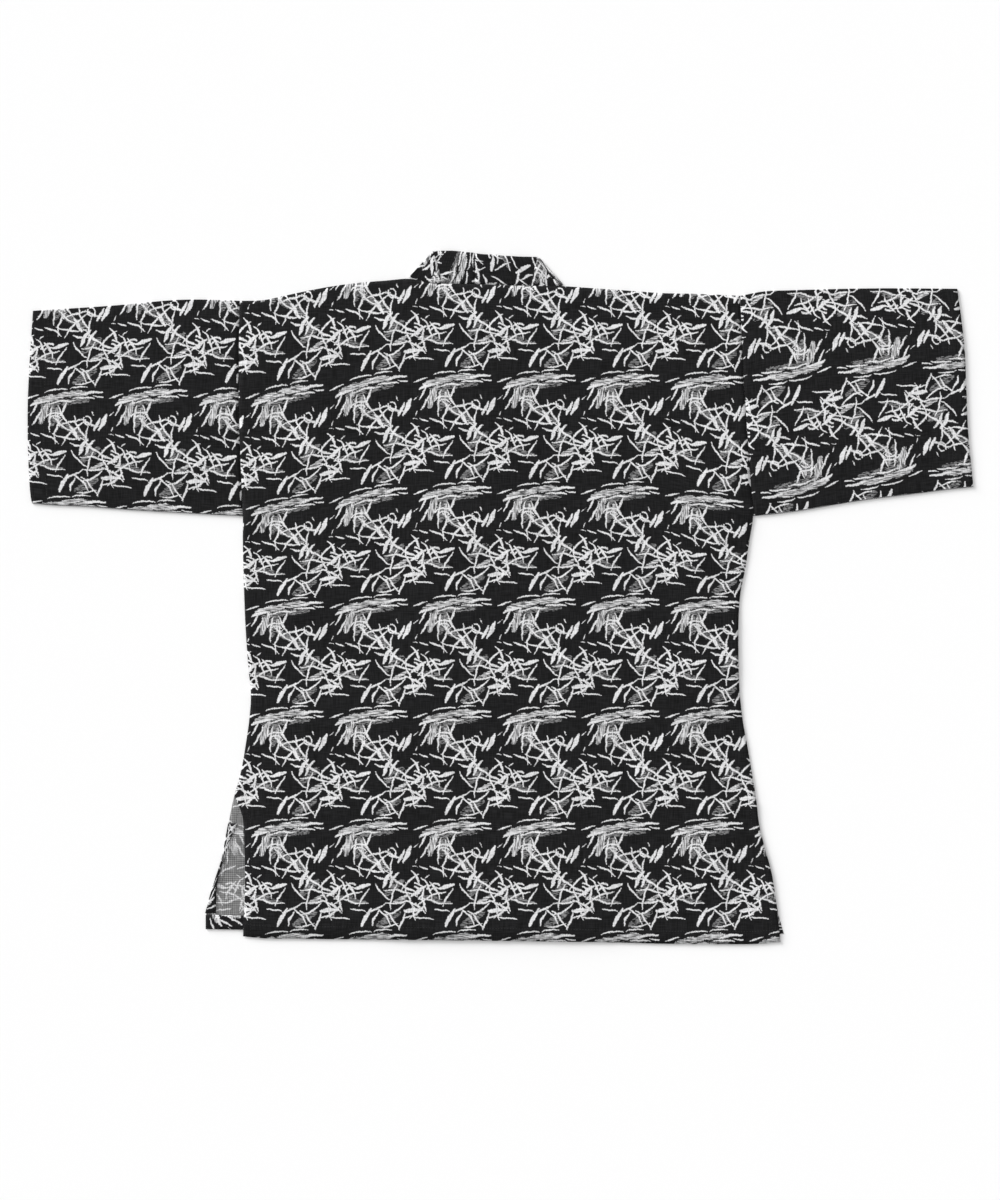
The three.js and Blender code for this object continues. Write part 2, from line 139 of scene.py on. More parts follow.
# One repeat of the print, in millimetres, given as groups of marks round a centre (x right, y up)
# stroke, dry, dry down, faint: x, y, angle, half length, half width, bow
# ripple: x, y, angle, arcs after the first, spacing, first radius, half sweep, half width
marks = [
    ((38, -9), [    # dry bars, rising to the right
        ("dry", -14, 0, 9, 15, 3.8, -1.5),
        ("dry", 12, 5, 4, 17, 3.6, -1.5),
        ("stroke", -24, -5, 12, 11, 1.6, -1),
        ("stroke", 0, -4, 7, 16, 1.2, -1.5),
        ("stroke", 26, 0, -3, 12, 1.4, -1),
        ("stroke", 34, 6, 6, 12, 1.7, -0.5),
        ("stroke", -6, 10, 8, 13, 1, -1),
        ("stroke", -34, 1, 14, 8, 1.1, 0),
        ("stroke", 20, 12, 2, 10, 1.1, -0.5),
        ("stroke", 44, 1, -6, 7, 1.1, 0),
        ("faint", 4, -5, 6, 26, 3.4, -1.5),
    ]),
    ((24, -26), [    # bristle marks brushed downwards
        ("dry down", -5, -1, 70, 12, 4, 0),
        ("dry down", 10, -6, 96, 10, 2.6, 0),
        ("stroke", -12, -5, 62, 13, 1.2, 1.5),
        ("stroke", 1, -8, 84, 15, 1.3, -1.5),
        ("stroke", 16, -5, 118, 14, 1.2, -2),
        ("stroke", -16, 4, 60, 9, 1.3, 0),
        ("stroke", 17, 4, 66, 8, 1.5, 0),
        ("faint", 6, -2, 76, 13, 6, 0),
    ]),
    ((46, -48), [    # net of crossing strokes under them
        ("stroke", -4, 4, -38, 20, 1.2, 3),
        ("stroke", 4, -1, 46, 20, 1.3, -3),
        ("stroke", -14, 0, 74, 15, 1.2, -3),
        ("stroke", 12, 3, -62, 16, 1.3, 2.5),
        ("stroke", 0, -9, -8, 18, 1.2, 3),
        ("stroke", 4, 11, 12, 16, 1.2, -2.5),
        ("stroke", 20, -6, 84, 12, 1.2, -1.5),
        ("stroke", -20, -8, -30, 11, 1.3, -1.5),
        ("stroke", 8, -3, -58, 9, 2.4, -0.5),
        ("stroke", 24, 8, -22, 11, 1.2, 1.5),
        ("ripple", -15, 12, 90, 1, 4.2, 6, 62, 1.15),
        ("ripple", 22, 12, -60, 0, 1, 5, 160, 1),
        ("faint", 2, 2, -30, 18, 4, 1),
    ]),
    ((74, -74), [    # long strokes across a heavy pair
        ("stroke", -12, 8, 64, 10, 2.3, -1.5),
        ("stroke", -5, 7, 60, 9, 2, -1),
        ("stroke", 4, 2, -34, 24, 1.4, 3.5),
        ("stroke", 6, -6, -12, 20, 1.3, -3.5),
        ("stroke", -6, -12, 74, 15, 1.3, -2.5),
        ("stroke", 12, -12, -72, 16, 1.2, 2.5),
        ("stroke", 14, 6, 40, 13, 1.3, -2),
        ("stroke", -18, -8, -48, 12, 1.3, 1.5),
        ("stroke", 22, 10, -60, 9, 1.6, -1),
        ("stroke", 1, -20, 8, 14, 1.2, 2),
        ("stroke", -17, 8, -10, 10, 1.2, 1.5),
        ("ripple", 20, -6, 20, 1, 4.4, 5, 70, 1.15),
        ("dry", 4, -15, 30, 9, 2.6, 0),
        ("faint", -4, -2, 40, 13, 4, 0),
    ]),
    ((20, -84), [    # slashes
        ("stroke", -6, 8, -64, 14, 1.3, -2.5),
        ("stroke", 2, 6, -58, 11, 1.4, -1.5),
        ("stroke", -4, -2, 26, 18, 1.3, -3),
        ("stroke", 4, -9, -12, 17, 1.2, 2.5),
        ("stroke", -12, -8, -82, 12, 1.2, 1.5),
        ("stroke", 15, -3, 60, 12, 1.2, -1),
        ("stroke", 14, 9, 10, 9, 2.3, 0),
        ("stroke", -18, 4, 34, 10, 2.2, -0.5),
        ("ripple", 2, 2, 110, 1, 4.4, 6, 44, 1.1),
        ("ripple", -16, -10, -30, 0, 1, 5, 140, 1),
        ("faint", 2, -6, -14, 16, 3.6, 0),
    ]),
    ((60, -108), [    # short marks above the bars
        ("stroke", -10, 7, 24, 12, 1.3, 1.5),
        ("stroke", 12, 5, 28, 14, 1.3, 2),
        ("stroke", -22, -2, 62, 11, 2.4, -1),
        ("stroke", -12, -3, 66, 9, 1.4, -1),
        ("stroke", 0, 0, -50, 12, 1.4, -2),
        ("stroke", 9, -4, -54, 13, 1.3, -2),
        ("stroke", 20, -6, 66, 11, 1.3, 1.5),
        ("stroke", 4, -12, 10, 11, 1.2, 1),
        ("stroke", 32, 6, 4, 10, 2.4, 0),
        ("stroke", 30, -1, 8, 8, 1.3, 0),
        ("stroke", -31, 6, -8, 8, 1.3, 0),
        ("faint", 4, -4, 30, 14, 4, 0),
    ]),
    ((86, -38), [    # lone marks and ticks in the quiet part
        ("stroke", 0, 0, 66, 10, 2.6, 1),
        ("stroke", -7, -2, 62, 8, 2, 0),
        ("stroke", -12, 10, 120, 2.6, 0.7, 0),
        ("stroke", 9, 10, 30, 2.8, 0.7, 0),
        ("stroke", 8, -14, 160, 2.4, 0.7, 0),
    ]),
    ((94, -100), [    # bridge between one repeat and the next
        ("stroke", 2, 4, -30, 14, 1.2, -2),
        ("stroke", 4, -4, 42, 12, 1.2, 1.5),
        ("stroke", -2, -4, 98, 9, 1.1, -1),
        ("stroke", 10, -11, -8, 11, 1.2, 0),
    ]),
    ((8, -54), [    # ticks
        ("stroke", 0, 0, -24, 5, 1.2, 0.5),
        ("stroke", -8, 8, 70, 2.6, 0.7, 0),
        ("stroke", 4, -9, 40, 3, 0.8, 0),
    ]),
]

hairGap = (0.42, 0.54)    # of the noise that stands for the hairs of a brush, from a gap to a hair
# how the hairs of a nearly dry brush draw out its mark, and the least and most ink that they leave
bristles = {
    "dry": {"stretch": (0.1, 1.15, 1), "ink": (0.12, 0.92)},
    "dry down": {"stretch": (1.15, 0.1, 1), "ink": (0.12, 0.92)},
    "faint": {"stretch": (0.2, 0.9, 1), "ink": (0, 0.3)},
}


def startGroup(name, numbers):    # a group that turns a point of the cloth into millimetres inside a mark
    group = bpy.data.node_groups.new(name, "ShaderNodeTree")
    for socket in ("Point", "Centre", "Along", "Across"):
        group.interface.new_socket(socket, in_out="INPUT", socket_type="NodeSocketVector")
    for socket in numbers:
        group.interface.new_socket(socket, in_out="INPUT", socket_type="NodeSocketFloat")
    group.interface.new_socket("Inside", in_out="OUTPUT", socket_type="NodeSocketFloat")
    given = group.nodes.new("NodeGroupInput").outputs
    offset = addNode(group, "ShaderNodeVectorMath", {0: given["Point"], 1: given["Centre"]},
                     operation="SUBTRACT")
    return group, given, offset


def endGroup(group, width, distance):    # half width less the distance from the mark's middle line
    inside = addNode(group, "ShaderNodeMath", {0: width, 1: distance.outputs["Value"]}, operation="SUBTRACT")
    addNode(group, "NodeGroupOutput", {"Inside": inside})


def strokeGroup():    # one brush stroke: bowed, and narrower towards its ends
    group, given, offset = startGroup("brush stroke", ("Start", "End", "Width", "Taper"))
    along = addNode(group, "ShaderNodeVectorMath", {0: offset, 1: given["Along"]}, operation="DOT_PRODUCT")
    held = addNode(group, "ShaderNodeClamp", {
        "Value": along.outputs["Value"], "Min": given["Start"], "Max": given["End"]})
    square = addNode(group, "ShaderNodeMath", {0: held, 1: held}, operation="MULTIPLY")
    run = addNode(group, "ShaderNodeVectorMath", {0: given["Along"], "Scale": held}, operation="SCALE")
    bow = addNode(group, "ShaderNodeVectorMath", {0: given["Across"], "Scale": square}, operation="SCALE")
    middle = addNode(group, "ShaderNodeVectorMath", {0: run, 1: bow}, operation="ADD")
    distance = addNode(group, "ShaderNodeVectorMath", {0: offset, 1: middle}, operation="DISTANCE")
    width = addNode(group, "ShaderNodeMath", {0: square, 1: given["Taper"], 2: given["Width"]},
                    operation="MULTIPLY_ADD")
    endGroup(group, width, distance)
    return group


def rippleGroup():    # arcs one outside the other
    group, given, offset = startGroup("ripples", ("Spacing", "Back", "Last", "Radius", "Sweep", "Width"))
    u = addNode(group, "ShaderNodeVectorMath", {0: offset, 1: given["Along"]}, operation="DOT_PRODUCT")
    v = addNode(group, "ShaderNodeVectorMath", {0: offset, 1: given["Across"]}, operation="DOT_PRODUCT")
    radius = addNode(group, "ShaderNodeVectorMath", {0: offset}, operation="LENGTH").outputs["Value"]
    angle = addNode(group, "ShaderNodeMath", {0: v.outputs["Value"], 1: u.outputs["Value"]},
                    operation="ARCTAN2")
    out = addNode(group, "ShaderNodeMath", {0: radius, 1: given["Radius"]}, operation="SUBTRACT")
    place = addNode(group, "ShaderNodeMath", {0: out, 1: given["Spacing"]}, operation="DIVIDE")
    whole = addNode(group, "ShaderNodeMath", {0: place}, operation="ROUND")
    count = addNode(group, "ShaderNodeClamp", {"Value": whole, "Min": 0, "Max": given["Last"]})
    side = addNode(group, "ShaderNodeMath", {0: count, 1: given["Back"], 2: out}, operation="MULTIPLY_ADD")
    swing = addNode(group, "ShaderNodeMath", {0: angle}, operation="ABSOLUTE")
    past = addNode(group, "ShaderNodeMath", {0: swing, 1: given["Sweep"]}, operation="SUBTRACT")
    kept = addNode(group, "ShaderNodeMath", {0: past, 1: 0}, operation="MAXIMUM")
    beyond = addNode(group, "ShaderNodeMath", {0: kept, 1: radius}, operation="MULTIPLY")
    apart = addNode(group, "ShaderNodeCombineXYZ", {"X": side, "Y": beyond})
    distance = addNode(group, "ShaderNodeVectorMath", {0: apart}, operation="LENGTH")
    endGroup(group, given["Width"], distance)
    return group


markGroups = {"stroke": strokeGroup(), "ripple": rippleGroup()}


def markNumbers(kind, sizes):    # what a row of the chart gives to its group's sockets, and how far it bows
    if kind == "stroke":
        half, width, bow = sizes
        numbers = {"Start": -half, "End": half, "Width": width, "Taper": -repeat["taper"] * width / half ** 2}
        return numbers, bow / half ** 2
    last, spacing, radius, sweep, width = sizes
    numbers = {"Spacing": spacing, "Back": -spacing, "Last": last, "Radius": radius,
               "Sweep": math.radians(sweep), "Width": width}
    return numbers, 1


def printGroup():    # the whole repeat: a point of the cloth in millimetres in, how much ink lies there out
    group = bpy.data.node_groups.new("brush print", "ShaderNodeTree")
    group.interface.new_socket("Cloth", in_out="INPUT", socket_type="NodeSocketVector")
    group.interface.new_socket("Ink", in_out="OUTPUT", socket_type="NodeSocketFloat")
    cloth = group.nodes.new("NodeGroupInput").outputs["Cloth"]
    size = (repeat["width"] / 2, repeat["height"] / 2, 1)
    found = dict.fromkeys(["stroke", *bristles])
    for centre, rows in marks:
        offset = addNode(group, "ShaderNodeVectorMath", {0: cloth, 1: (*centre, 0)}, operation="SUBTRACT")
        local = addNode(group, "ShaderNodeVectorMath", {0: offset, 1: size, 2: [-half for half in size]},
                        operation="WRAP")
        stray = addNode(group, "ShaderNodeTexNoise", {
            "Vector": local, "Scale": 1 / repeat["wobbleLength"], "Detail": 1}, noise_dimensions="2D")
        centred = addNode(group, "ShaderNodeVectorMath", {0: stray.outputs["Color"], 1: (0.5, 0.5, 0)},
                          operation="SUBTRACT")
        shift = addNode(group, "ShaderNodeVectorMath", {0: centred, "Scale": 2 * repeat["wobble"]},
                        operation="SCALE")
        strayed = addNode(group, "ShaderNodeVectorMath", {0: local, 1: shift}, operation="ADD")
        point = addNode(group, "ShaderNodeVectorMath", {0: strayed, 1: (1, 1, 0)}, operation="MULTIPLY")
        for row in rows:
            layer = row[0] if row[0] in found else "stroke"
            kind = "ripple" if row[0] == "ripple" else "stroke"
            x, y, degrees = row[1:4]
            turn = math.radians(degrees)
            numbers, curve = markNumbers(kind, row[4:])
            mark = group.nodes.new("ShaderNodeGroup")
            mark.node_tree = markGroups[kind]
            group.links.new(point.outputs[0], mark.inputs["Point"])
            mark.inputs["Centre"].default_value = (x, y, 0)
            mark.inputs["Along"].default_value = (math.cos(turn), math.sin(turn), 0)
            mark.inputs["Across"].default_value = (-math.sin(turn) * curve, math.cos(turn) * curve, 0)
            for socket, value in numbers.items():
                mark.inputs[socket].default_value = value
            if found[layer]:
                mark = addNode(group, "ShaderNodeMath", {0: found[layer], 1: mark}, operation="MAXIMUM")
            found[layer] = mark
    ragged = addNode(group, "ShaderNodeTexNoise", {"Vector": cloth, "Scale": repeat["ragged"], "Detail": 1},
                     noise_dimensions="2D")
    depth, soft = repeat["raggedDepth"], {"From Min": -repeat["soft"], "From Max": repeat["soft"]}
    edge = addNode(group, "ShaderNodeMath", {0: ragged, 1: depth, 2: -depth / 2}, operation="MULTIPLY_ADD")
    coarse = addNode(group, "ShaderNodeMath", {0: edge, 1: repeat["torn"]}, operation="MULTIPLY")
    thinned = addNode(group, "ShaderNodeMath", {0: edge, 1: repeat["thinned"]}, operation="SUBTRACT")
    wet = addNode(group, "ShaderNodeMath", {0: found["stroke"], 1: thinned}, operation="ADD")
    ink = addNode(group, "ShaderNodeMapRange", {"Value": wet, **soft})
    for layer, hairs in bristles.items():
        drawn = addNode(group, "ShaderNodeVectorMath", {0: cloth, 1: hairs["stretch"]}, operation="MULTIPLY")
        streak = addNode(group, "ShaderNodeTexNoise", {"Vector": drawn, "Scale": 1, "Detail": 1},
                         noise_dimensions="2D")
        left = addNode(group, "ShaderNodeMapRange", {
            "Value": streak, "From Min": hairGap[0], "From Max": hairGap[1],
            "To Min": hairs["ink"][0], "To Max": hairs["ink"][1]})
        torn = addNode(group, "ShaderNodeMath", {0: found[layer], 1: coarse}, operation="ADD")
        body = addNode(group, "ShaderNodeMapRange", {"Value": torn, **soft})
        dry = addNode(group, "ShaderNodeMath", {0: body, 1: left}, operation="MULTIPLY")
        ink = addNode(group, "ShaderNodeMath", {0: ink, 1: dry}, operation="MAXIMUM")
    addNode(group, "NodeGroupOutput", {"Ink": ink})
    return group


brushPrint = printGroup()
print("print drawn,", sum(len(rows) for _, rows in marks), "marks")

# ---- materials ----

cotton = {
    "thread": 1.0,      # mm between threads: a real one has about 0.6, which is too fine to show
    "slub": 16,         # mm, the length of a thick or thin stretch of a thread
    "grid": 2.4,        # mm between the dots of painted shade on the wrong side, as coarse as they need to show
    "threads": {"From Min": 0.7, "From Max": 1.3},    # of the noise that stands for them, thin to thick
    "inked": (0.84, 1.08), "shade": (0.88, 1.12),     # how the print and the colour vary over them
    "bump": 0.35, "threadHeight": 0.12,
    "roughness": 0.88, "shine": 0.14, "fuzz": 0.03, "fuzzRoughness": 0.6,
    # the dye shows through on the wrong side, where the holes of the weave are painted darker as a grid of
    # dots: painted shade in the holes
    "right side": {"ground": "#161617", "ink": "#DEDEDF", "mottle": 0.6, "paintedHoleShade": 0},
    "wrong side": {"ground": "#777777", "ink": "#C9C9CA", "mottle": 0.2, "paintedHoleShade": 0.24},
}


def clothPoint(tree):    # where a point lies on the flat cloth, in millimetres
    place = addNode(tree, "ShaderNodeUVMap", {}, uv_map="cloth")
    return addNode(tree, "ShaderNodeVectorMath", {0: place, "Scale": 1 / mm}, operation="SCALE")


def weave(tree, point):    # two sets of uneven threads, one across the other
    sets = []
    apart, slub = 1 / cotton["thread"], 1 / cotton["slub"]
    for stretch in ((apart, slub, 1), (slub, apart, 1)):
        drawn = addNode(tree, "ShaderNodeVectorMath", {0: point, 1: stretch}, operation="MULTIPLY")
        sets.append(addNode(tree, "ShaderNodeTexNoise", {"Vector": drawn, "Scale": 1, "Detail": 1},
                            noise_dimensions="2D"))
    return addNode(tree, "ShaderNodeMath", {0: sets[0], 1: sets[1]}, operation="ADD")


# Plain-weave cotton with some slub, pigment-printed: matt and dry, a little fuzz, ink slightly broken by the
# threads, black gone soft
def cottonMaterial(name, look):
    material = bpy.data.materials.new(name)
    material.use_nodes = True
    tree = material.node_tree
    point = clothPoint(tree)
    printed = tree.nodes.new("ShaderNodeGroup")
    printed.node_tree = brushPrint
    tree.links.new(point.outputs[0], printed.inputs["Cloth"])
    threads = weave(tree, point)
    ranges = (cotton["inked"], (1 - look["mottle"], 1 + look["mottle"]), cotton["shade"])
    broken, mottle, shade = (
        addNode(tree, "ShaderNodeMapRange", {
            "Value": threads, **cotton["threads"], "To Min": low, "To Max": high})
        for low, high in ranges)
    ink = addNode(tree, "ShaderNodeMath", {0: printed, 1: broken}, operation="MULTIPLY", use_clamp=True)
    mottled = addNode(tree, "ShaderNodeMix", {"Factor": 1.0, "A": linear(look["ground"]), "B": mottle},
                      data_type="RGBA", blend_type="MULTIPLY")
    colour = addNode(tree, "ShaderNodeMix", {
        "Factor": ink, "A": mottled.outputs["Result"], "B": linear(look["ink"])}, data_type="RGBA")
    if look["paintedHoleShade"]:
        # painted shade: a grid of darker dots at the holes of the weave, laid over the wrong side's colour
        waves = addNode(tree, "ShaderNodeVectorMath", {0: point, "Scale": 2 * math.pi / cotton["grid"]},
                        operation="SCALE")
        holeShadeWaves = addNode(tree, "ShaderNodeVectorMath", {0: waves}, operation="SINE")
        parts = addNode(tree, "ShaderNodeSeparateXYZ", {0: holeShadeWaves})
        paintedHoleShade = addNode(tree, "ShaderNodeMath", {0: parts.outputs["X"], 1: parts.outputs["Y"]},
                       operation="ADD")
        shade = addNode(tree, "ShaderNodeMath", {0: paintedHoleShade, 1: look["paintedHoleShade"], 2: shade},
                        operation="MULTIPLY_ADD")
    toned = addNode(tree, "ShaderNodeMix", {"Factor": 1.0, "A": colour.outputs["Result"], "B": shade},
                    data_type="RGBA", blend_type="MULTIPLY")
    relief = addNode(tree, "ShaderNodeBump", {
        "Height": threads, "Strength": cotton["bump"], "Distance": cotton["threadHeight"] * mm})
    surface = tree.nodes["Principled BSDF"]
    tree.links.new(toned.outputs["Result"], surface.inputs["Base Color"])
    tree.links.new(relief.outputs["Normal"], surface.inputs["Normal"])
    surface.inputs["Roughness"].default_value = cotton["roughness"]
    surface.inputs["Specular IOR Level"].default_value = cotton["shine"]
    surface.inputs["Sheen Weight"].default_value = cotton["fuzz"]
    surface.inputs["Sheen Roughness"].default_value = cotton["fuzzRoughness"]
    return material


rightSide = cottonMaterial("pigment-printed cotton", cotton["right side"])
wrongSide = cottonMaterial("wrong side of the printed cotton", cotton["wrong side"])

thread = {
    "turn": 0.7,    # mm from one ridge of the twist to the next
    # dark is the thread's own black; light is a painted sheen on the ridges of the twist
    "dark": "#161616", "light": "#2C2C2C", "roughness": 0.55,
}
waveRadians = 10    # that a diagonal wave texture of scale 1 goes through in a unit of x + y + z
# Spun polyester sewing thread: black, with a soft shine painted into its colour as lighter bands along the
# twist
threadMaterial = bpy.data.materials.new("spun polyester thread")
threadMaterial.use_nodes = True
threadTree = threadMaterial.node_tree
twistPlace = addNode(threadTree, "ShaderNodeTexCoord", {})
twist = addNode(threadTree, "ShaderNodeTexWave", {
    "Vector": twistPlace.outputs["Object"], "Scale": 2 * math.pi / (waveRadians * thread["turn"] * mm)},
    bands_direction="DIAGONAL")
# painted sheen: the thread's black lightened in bands along the twist
threadColourWithPaintedSheen = addNode(threadTree, "ShaderNodeMix", {
    "Factor": twist.outputs["Fac"], "A": linear(thread["dark"]), "B": linear(thread["light"])},
    data_type="RGBA")
threadSurface = threadTree.nodes["Principled BSDF"]
threadTree.links.new(threadColourWithPaintedSheen.outputs["Result"], threadSurface.inputs["Base Color"])
threadSurface.inputs["Roughness"].default_value = thread["roughness"]
print("materials made")

# ---- reading edges and heights off the frame ----

reading = {
    "weld": 0.01,         # mm
    "level": 0.5,         # the least upright part of the normal of a face that counts as level
    "sharp": 30,          # degrees, the least turn of a line that stays sharp
    "between": 8,         # points that smooth each step of a line
    "from": 100,          # mm from the table to where heights are looked for
    "above": 3,           # mm, where the nearest top is looked for past an edge
    "spacing": 2,         # mm along a line whose distance is asked
    "apart": 7,           # m from one line to the next, so that their ripples differ
    "passes": 24,         # of smoothing, which takes the solid's facets away
}


def solidOf(node):
    solid = bmesh.new()
    solid.from_mesh(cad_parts[node].data)
    bmesh.ops.remove_doubles(solid, verts=solid.verts, dist=reading["weld"] * mm)
    solid.normal_update()
    return solid


def outlineOf(node, layerTop=None):
    # the rim of the layer that faces up, anticlockwise; or, below a height, of the layer that faces down
    solid = solidOf(node)
    level = reading["level"]
    if layerTop is None:
        layer = {face for face in solid.faces if face.normal.z > level}
    else:
        layer = {face for face in solid.faces
                 if face.normal.z < -level and face.calc_center_median().z < layerTop}
    following = {}
    for face in layer:
        for loop in face.loops:
            if len(layer.intersection(loop.edge.link_faces)) == 1:
                following[loop.vert] = loop.link_loop_next.vert
    ring = [min(following, key=lambda vert: vert.co[:])]    # the leftmost, so that each run is the same
    while following[ring[-1]] is not ring[0]:
        ring.append(following[ring[-1]])
    points = [vert.co.copy() for vert in ring]
    solid.free()
    return points if layerTop is None else points[::-1]


def sideOf(ring, start, end):    # the stretch of a ring that runs anticlockwise between two corners
    first, last = (min(range(len(ring)), key=lambda place: (ring[place].xy - corner).length)
                   for corner in (start, end))
    return [ring[(first + step) % len(ring)].copy() for step in range((last - first) % len(ring) + 1)]


def lengthOf(line):
    return sum((there - here).length for here, there in zip(line, line[1:]))


def evenly(line, steps):
    # points evenly spaced along a line, which is smoothed except where it turns sharply
    sharp = math.radians(reading["sharp"])
    bends = [0.0] + [(line[place] - line[place - 1]).angle(line[place + 1] - line[place])
                     for place in range(1, len(line) - 1)] + [0.0]
    fine = [line[0]]
    for place in range(len(line) - 1):
        here, there = line[place], line[place + 1]
        before = line[place - 1] if place > 0 and bends[place] < sharp else here
        after = line[place + 2] if place + 2 < len(line) and bends[place + 1] < sharp else there
        # a cubic's handles are a sixth of the way between the points on each side
        fine += geometry.interpolate_bezier(
            here, here + (there - before) / 6, there - (after - here) / 6, there, reading["between"])[1:]
    spacing = lengthOf(fine) / steps
    points, walked = [fine[0]], 0.0
    for here, there in zip(fine, fine[1:]):
        step = (there - here).length
        while len(points) < steps and walked + step >= spacing * len(points):
            points.append(here.lerp(there, (spacing * len(points) - walked) / step))
        walked += step
    return points + [fine[-1]] if len(points) == steps else points


def patchPoint(sides, u, v, column, row):    # a point spread between the four sides of a panel
    left, right, above, below = sides
    across = left[row].lerp(right[row], u)
    down = above[column].lerp(below[column], v)
    corner = above[0].lerp(above[-1], u).lerp(below[0].lerp(below[-1], u), v)
    return across + down - corner


def sidesOf(ring, corners, cell):    # the four sides of a panel, each cut into even steps
    topLeft, topRight, bottomRight, bottomLeft = (Vector(corner) * mm for corner in corners)
    left = sideOf(ring, topLeft, bottomLeft)
    below = sideOf(ring, bottomLeft, bottomRight)
    right = sideOf(ring, bottomRight, topRight)[::-1]
    above = sideOf(ring, topRight, topLeft)[::-1]
    columns = max(2, round(max(lengthOf(above), lengthOf(below)) / cell))
    rows = max(2, round(max(lengthOf(left), lengthOf(right)) / cell))
    return evenly(left, rows), evenly(right, rows), evenly(above, columns), evenly(below, columns)


def heightTree(node):
    solid = solidOf(node)
    tree = BVHTree.FromBMesh(solid)
    solid.free()
    return tree


def heightOf(tree, point, facing):    # the top of a solid at a point, or with facing -1 its underside
    hit = tree.ray_cast(Vector((point.x, point.y, reading["from"] * mm * facing)), Vector((0, 0, -facing)))[0]
    if hit is None:
        hit = tree.find_nearest(Vector((point.x, point.y, reading["above"] * mm if facing > 0 else 0)))[0]
    return hit.z


def nearTree(line):    # finds how far a point is from a line, and how far along it
    points = evenly(line, max(2, round(lengthOf(line) / (reading["spacing"] * mm))))
    tree = KDTree(len(points))
    for place, point in enumerate(points):
        tree.insert((point.x, point.y, 0), place)
    tree.balance()
    return tree


def nearest(trees, point):    # distance and place along the nearest of several lines
    flat = Vector((point.x, point.y, 0))
    finds = [tree.find(flat) for tree in trees]
    return min((far, place * reading["spacing"] * mm + reading["apart"] * index)
               for index, (_, place, far) in enumerate(finds))


def smooth(value):
    held = min(max(value, 0), 1)
    return held * held * (3 - 2 * held)


# ---- finishing a piece ----


def finishPiece(cloth, name, materials, wall, nodes=()):
    mesh = bpy.data.meshes.new(name)
    cloth.to_mesh(mesh)
    for material in materials:
        mesh.materials.append(material)
    mesh.shade_smooth()
    piece = bpy.data.objects.new(name, mesh)
    bpy.context.scene.collection.objects.link(piece)
    if wall:
        shell = piece.modifiers.new("cloth thickness", "SOLIDIFY")
        shell.thickness = wall * mm
        shell.offset = -1
        shell.material_offset = 1
    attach(piece, "root")
    if nodes:
        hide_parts(*nodes)
    surface = BVHTree.FromBMesh(cloth)
    cloth.free()
    return piece, surface


creaseFade = 0.7    # the share of its height that a crease has lost where it ends
waves = {    # mm
    "rises": 1.5, "ridge": 8, "falls": 5,       # where a seam's ridge rises, how wide it is, where it falls
    "puckerLength": 9, "puckerDepth": 30,       # along the seam and away from it
    "puckerReach": 14, "puckerStart": 3,
    "hemFalls": 3,                              # past the doubled cloth of a hem
    "hemLength": 26, "hemDepth": 60, "hemReach": 20,
    "lieLength": 62, "fineLength": 21,          # of the cloth's own waves
    "inwards": 22, "creaseStart": 8,            # how far in from an edge the waves and the creases start
    "rounding": 2.6,                            # of an edge that turns down into a seam
}


def creaseLift(creases, point):    # soft ridges and troughs, each deepest where it starts
    lift = 0.0
    for x0, y0, x1, y1, height, reach in creases:
        start, run = Vector((x0, y0)) * mm, Vector((x1 - x0, y1 - y0)) * mm
        share = (point.xy - start).dot(run) / run.length_squared
        kept = min(max(share, 0), 1)
        apart = (point.xy - start - run * kept).length / (reach * mm)
        lift += height * math.exp(-apart ** 2) * (1 - creaseFade * kept)
    return lift


def relieve(verts, seams, hems, hemDepth, relief, creases):
    # seam ridges and puckers, a doubled hem, creases and the lie of the cloth; returns how far each vertex is
    # from a hem
    size = {name: length * mm for name, length in waves.items()}
    seamTrees = [nearTree(line) for line in seams]
    hemTrees = [nearTree(line) for line in hems]
    hemReach = {}
    for vert in verts:
        fromSeam, seamPlace = nearest(seamTrees, vert.co)
        fromHem, hemPlace = nearest(hemTrees, vert.co)
        hemReach[vert] = fromHem
        ridge = smooth(fromSeam / size["rises"]) * (1 - smooth((fromSeam - size["ridge"]) / size["falls"]))
        # the third coordinate of each noise only keeps it unlike the others
        pucker = noise.noise(Vector((seamPlace / size["puckerLength"], fromSeam / size["puckerDepth"], 3)))
        ripple = noise.noise(Vector((hemPlace / size["hemLength"], fromHem / size["hemDepth"], 8)))
        lie = noise.noise(Vector((vert.co.x, vert.co.y, 0.02)) / size["lieLength"])
        fine = noise.noise(Vector((vert.co.x, vert.co.y, 0.11)) / size["fineLength"])
        inwards = smooth(min(fromSeam, fromHem) / size["inwards"])
        puckered = math.exp(-fromSeam / size["puckerReach"]) * smooth(fromSeam / size["puckerStart"])
        doubled = 1 - smooth((fromHem - hemDepth * mm) / size["hemFalls"])
        lift = (relief["seamRidge"] * ridge
                + relief["pucker"] * pucker * puckered
                + relief["hemRidge"] * doubled
                + relief["hemRipple"] * ripple * math.exp(-fromHem / size["hemReach"])
                + (relief["lie"] * lie + relief["fine"] * fine) * inwards
                + creaseLift(creases, vert.co) * smooth(fromSeam / size["creaseStart"])
                - relief["edgeDrop"] * (1 - smooth(fromSeam / size["rounding"])))
        vert.co.z += lift * mm
    return hemReach


def gridOf(columns, rows):
    # a grid to be laid out, with the column and row of each of its corners, counted from the top left
    cloth = bmesh.new()
    bmesh.ops.create_grid(cloth, x_segments=columns, y_segments=rows, size=0.5)
    cloth.loops.layers.uv.new("cloth")
    places = {vert: (round((vert.co.x + 0.5) * columns), round((0.5 - vert.co.y) * rows))
              for vert in cloth.verts}
    return cloth, places


def layPrint(cloth, where):    # where each corner of each face lies on the uncut cloth, in metres
    uv = cloth.loops.layers.uv["cloth"]
    for face in cloth.faces:
        for loop in face.loops:
            loop[uv].uv = where(loop.vert)


def smoothFacets(cloth, verts):
    for _ in range(reading["passes"]):
        bmesh.ops.smooth_vert(cloth, verts=verts, factor=0.5, use_axis_z=True)


